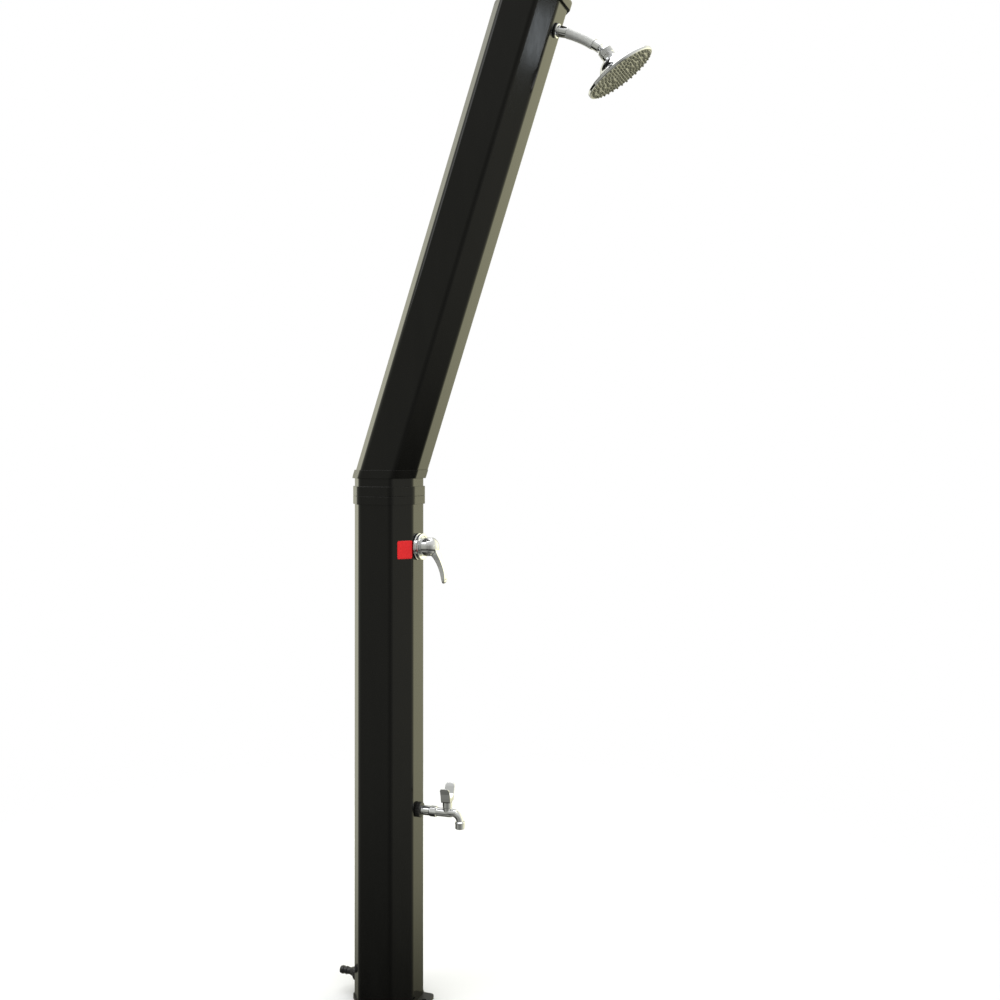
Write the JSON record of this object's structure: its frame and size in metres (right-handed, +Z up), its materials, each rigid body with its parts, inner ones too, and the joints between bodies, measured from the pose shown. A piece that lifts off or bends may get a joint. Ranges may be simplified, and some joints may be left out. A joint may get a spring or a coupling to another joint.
{
  "type": "outdoor shower post",
  "caption": "Leaning two-part black water-column outdoor shower with lever mixer, foot tap, rear hose inlet and ball-jointed rain head.",
  "frame": {"origin": "on the floor, on the axis of the upright lower column", "axes": "+Z up, front with the mixer, tap and head towards -Y, +X to the right seen from behind"},
  "size_m": [0.192, 0.7131, 2.17],
  "materials": {
    "gloss_black_column": "high gloss black",
    "gloss_black_trim": "high gloss black, moulded",
    "black_plastic": "moulded black",
    "connector_plastic": "moulded dark grey",
    "white_plastic": "moulded",
    "rubber": "black rubber",
    "nozzle_rubber": "grey silicone",
    "stainless": "stainless",
    "brass": "turned brass",
    "chrome": "polished chrome",
    "satin_sleeve": "satin grey",
    "face_plastic": "silver grey",
    "hose": "flexible hose"
  },
  "bodies": {
    "post": {"arm_elbow": "brass", "arm_ferrule": "chrome", "arm_gasket": "rubber", "arm_sleeve": "satin_sleeve", "arm_tube": "chrome", "back_nuts": "brass", "ball_seats": "white_plastic", "base_flange": "black_plastic", "bonnet_cover": "chrome", "cartridge": "white_plastic", "cartridge_nut": "brass", "check_valve": "white_plastic", "cold_hose": "hose", "elbow_housing": "gloss_black_trim", "elbow_screws": "stainless", "escutcheon": "chrome", "gland_nut": "chrome", "hose_connector": "connector_plastic", "hot_coupler": "brass", "hot_hose_lower": "hose", "hot_hose_upper": "hose", "inlet_gasket": "rubber", "inlet_manifold": "brass", "link_nipple": "black_plastic", "link_nuts": "black_plastic", "link_seals": "rubber", "lower_collar_ring": "gloss_black_trim", "lower_column": "gloss_black_column", "lower_top_plug": "black_plastic", "mixer_body": "chrome", "mixer_gasket": "rubber", "mixer_nut": "brass", "shower_coupler": "brass", "shower_hose_lower": "hose", "shower_hose_upper": "hose", "spout_nozzle": "chrome", "tap_body": "chrome", "tap_hose": "hose", "tap_rosette": "black_plastic", "top_cap": "gloss_black_trim", "upper_bottom_plug": "black_plastic", "upper_column": "gloss_black_column", "upper_top_plug": "black_plastic", "wall_nut": "chrome"},
    "mixer_carrier": {"lever_carrier": "white_plastic", "lever_pin": "stainless"},
    "mixer_lever": {"lever_spindle": "brass", "lever_handle": "chrome", "lever_screw": "stainless"},
    "tap_lever": {"valve_ball": "brass", "tap_stem": "brass", "tap_handle": "chrome", "handle_screw": "chrome"},
    "swivel_liner": {"ball_liner": "white_plastic"},
    "swivel_cup": {"ball_cup": "white_plastic"},
    "shower_head": {"ball_nut": "chrome", "seat_washer": "rubber", "head_shell": "chrome", "face_plate": "face_plastic", "spray_nozzles": "nozzle_rubber"}
  },
  "joints": [
    {"name": "mixer_temperature", "type": "hinge", "parent": "post", "child": "mixer_carrier", "pos_m": [0, -0.0976, 1.003], "axis": [0, -1, 0], "range_deg": [-45, 45]},
    {"name": "mixer_flow", "type": "hinge", "parent": "mixer_carrier", "child": "mixer_lever", "pos_m": [0, -0.0976, 1.003], "axis": [-1, 0, 0], "range_deg": [0, 18]},
    {"name": "tap_turn", "type": "hinge", "parent": "post", "child": "tap_lever", "pos_m": [0, -0.1416, 0.4245], "axis": [0, 0, 1], "range_deg": [0, 90]},
    {"name": "head_tilt", "type": "hinge", "parent": "post", "child": "swivel_liner", "pos_m": [0, -0.49729, 2.03999], "axis": [1, 0, 0], "range_deg": [-16, 10]},
    {"name": "head_side", "type": "hinge", "parent": "swivel_liner", "child": "swivel_cup", "pos_m": [0, -0.49729, 2.03999], "axis": [0, -0.8339, 0.5519], "range_deg": [-28, 8]},
    {"name": "head_spin", "type": "hinge", "parent": "swivel_cup", "child": "shower_head", "pos_m": [0, -0.49729, 2.03999], "axis": [0.1736, -0.5436, -0.8212], "continuous": true}
  ]
}
